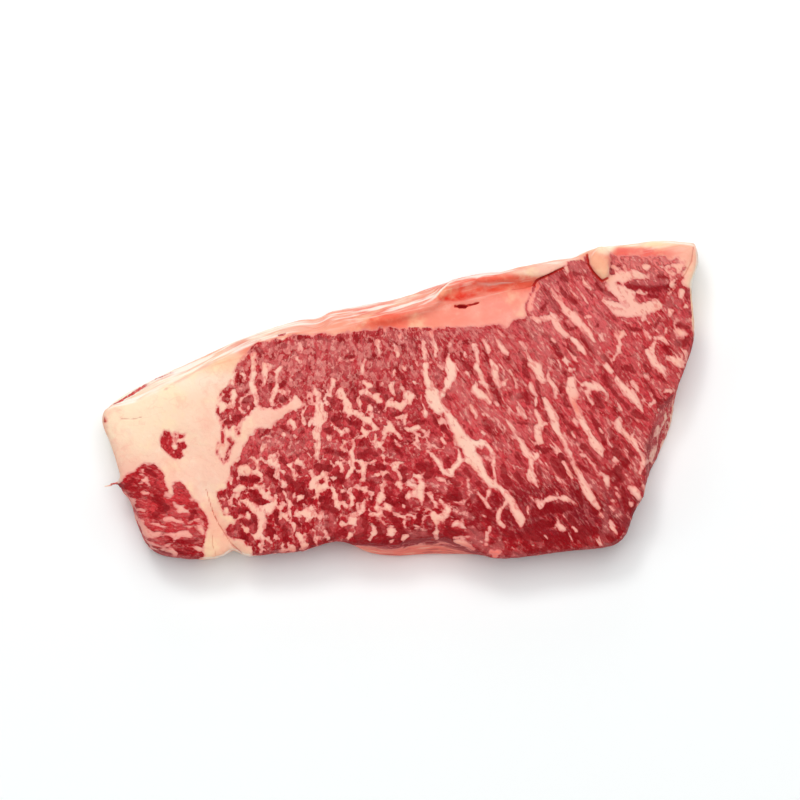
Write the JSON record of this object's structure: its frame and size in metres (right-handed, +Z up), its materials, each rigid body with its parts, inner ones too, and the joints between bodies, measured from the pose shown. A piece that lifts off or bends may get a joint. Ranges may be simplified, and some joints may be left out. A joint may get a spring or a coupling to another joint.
{
  "type": "wagyu striploin steak",
  "caption": "Raw marbled beef striploin steak lying flat: loin eye, side muscle and a leaning fat cap in one thick slice, for cooking or display.",
  "frame": {"origin": "centre of the bounding box's underside, on the face that the steak lies on", "axes": "+Z up out of the cut face; +X along the slice towards the blunt end of the loin eye; +Y towards the fat cap"},
  "size_m": [0.2234, 0.1196, 0.0259],
  "materials": {
    "raw_beef": "raw marbled beef, moist, satin"
  },
  "bodies": {
    "root": {"steak": "raw_beef"}
  },
  "joints": []
}
